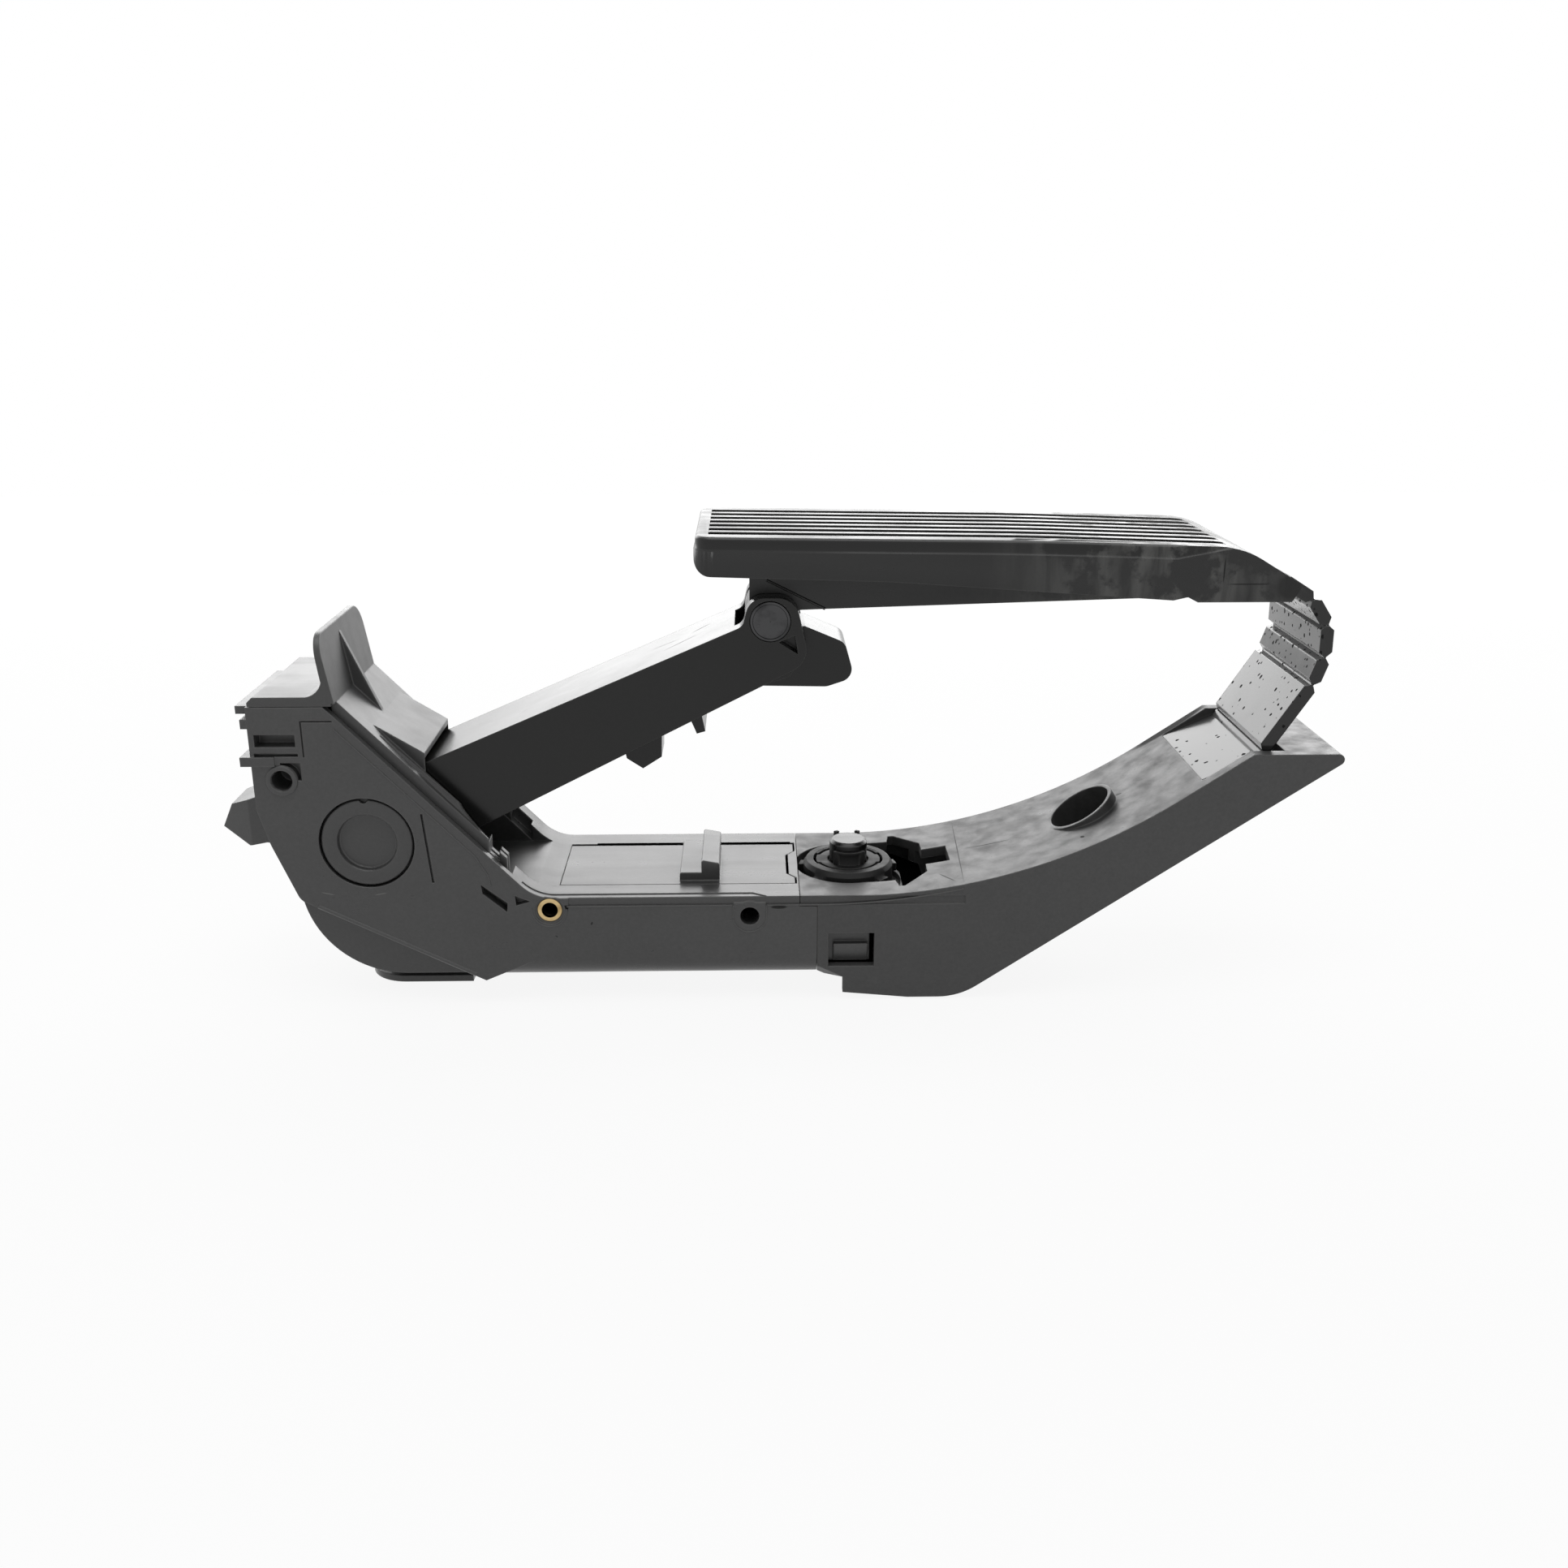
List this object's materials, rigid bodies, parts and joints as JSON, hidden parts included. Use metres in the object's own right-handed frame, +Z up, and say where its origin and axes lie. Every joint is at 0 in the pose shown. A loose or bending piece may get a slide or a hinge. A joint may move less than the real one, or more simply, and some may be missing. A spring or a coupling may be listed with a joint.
{
  "type": "accelerator pedal sensor",
  "caption": "Floor-hinged accelerator pedal: ribbed pad on a forked drive arm, folding strap hinge at the heel, kick-down switch, and a sensor box that reads the arm's angle.",
  "frame": {"origin": "middle of the module's length and width, on the floor that the foot and the heel stand on", "axes": "+X from the sensor box to the heel hinge, +Y across from the cap side to the sensor cover, +Z up"},
  "size_m": [0.2915, 0.051, 0.1229],
  "materials": {
    "base_plastic": "moulded glass-filled plastic, fine grain",
    "ramp_plastic": "moulded plastic, flow streaks",
    "cover_plastic": "moulded plastic, satin",
    "arm_plastic": "moulded glass-filled plastic, satin top",
    "pad_plastic": "moulded ribbed pad, satin",
    "strap_plastic": "flexible moulded plastic with film hinges",
    "switch_plastic": "moulded plastic",
    "button_plastic": "polished moulded plastic",
    "insert_brass": "knurled, turned",
    "bush_bronze": "sintered bronze",
    "shaft_steel": "ground",
    "pin_steel": "blackened steel",
    "spring_steel": "drawn wire",
    "terminal_tin": "tin plated",
    "board_laminate": "glass-epoxy laminate",
    "sensor_epoxy": "moulded epoxy",
    "magnet_ferrite": "pressed ferrite"
  },
  "bodies": {
    "base": {"base_housing": "base_plastic", "heel_ramp": "ramp_plastic", "housing_cover": "cover_plastic", "tub_lid": "base_plastic", "sensor_cover": "cover_plastic", "sensor_board": "board_laminate", "hall_sensor": "sensor_epoxy", "pivot_cap": "cover_plastic", "bush_near": "bush_bronze", "bush_far": "bush_bronze", "threaded_insert": "insert_brass", "kickdown_ring": "switch_plastic", "kickdown_spring": "spring_steel", "return_spring_near": "spring_steel", "return_spring_far": "spring_steel", "hinge_anchor": "strap_plastic", "terminal_pin_1": "terminal_tin", "terminal_pin_2": "terminal_tin", "terminal_pin_3": "terminal_tin", "terminal_pin_4": "terminal_tin", "terminal_pin_5": "terminal_tin", "terminal_pin_6": "terminal_tin"},
    "arm": {"drive_arm": "arm_plastic", "pivot_shaft": "shaft_steel", "magnet_rotor": "magnet_ferrite", "hinge_pin": "pin_steel"},
    "pedal": {"pedal_pad": "pad_plastic", "pedal_bracket": "pad_plastic"},
    "link_1": {"hinge_link_1": "strap_plastic"},
    "link_2": {"hinge_link_2": "strap_plastic"},
    "link_3": {"hinge_link_3": "strap_plastic"},
    "link_4": {"hinge_link_4": "strap_plastic"},
    "button": {"kickdown_button": "button_plastic"}
  },
  "joints": [
    {"name": "arm_pivot", "type": "hinge", "parent": "base", "child": "arm", "pos_m": [-0.1034, 0, 0.0449], "axis": [0, 1, 0], "range_deg": [0, 20.8], "stiffness_Nm_per_rad": 4, "springref_deg": -25.78},
    {"name": "pedal_pin", "type": "hinge", "parent": "arm", "child": "pedal", "pos_m": [-0.0001, 0, 0.10006], "axis": [0, 1, 0], "range_deg": [-34.2, 0]},
    {"name": "film_1", "type": "hinge", "parent": "pedal", "child": "link_1", "pos_m": [0.13454, 0, 0.1061], "axis": [0, 1, 0], "range_deg": [0, 3.6]},
    {"name": "film_2", "type": "hinge", "parent": "link_1", "child": "link_2", "pos_m": [0.13894, 0, 0.0996], "axis": [0, 1, 0], "range_deg": [0, 9.2]},
    {"name": "film_3", "type": "hinge", "parent": "link_2", "child": "link_3", "pos_m": [0.13914, 0, 0.0913], "axis": [0, 1, 0], "range_deg": [0, 15.7]},
    {"name": "film_4", "type": "hinge", "parent": "link_3", "child": "link_4", "pos_m": [0.13684, 0, 0.0842], "axis": [0, 1, 0], "range_deg": [0, 15.6]},
    {"name": "kickdown_press", "type": "slide", "parent": "base", "child": "button", "axis": [0, 0, -1], "range_m": [0, 0.0035], "stiffness_N_per_m": 4000, "springref_m": -0.002, "deforming": ["kickdown_spring"]}
  ],
  "couplings": [
    {"joint": "pedal_pin", "follows": "arm_pivot", "ratio": -1.6372},
    {"joint": "film_1", "follows": "arm_pivot", "ratio": 0.1663},
    {"joint": "film_2", "follows": "arm_pivot", "ratio": 0.4332},
    {"joint": "film_3", "follows": "arm_pivot", "ratio": 0.746},
    {"joint": "film_4", "follows": "arm_pivot", "ratio": 0.7427}
  ]
}
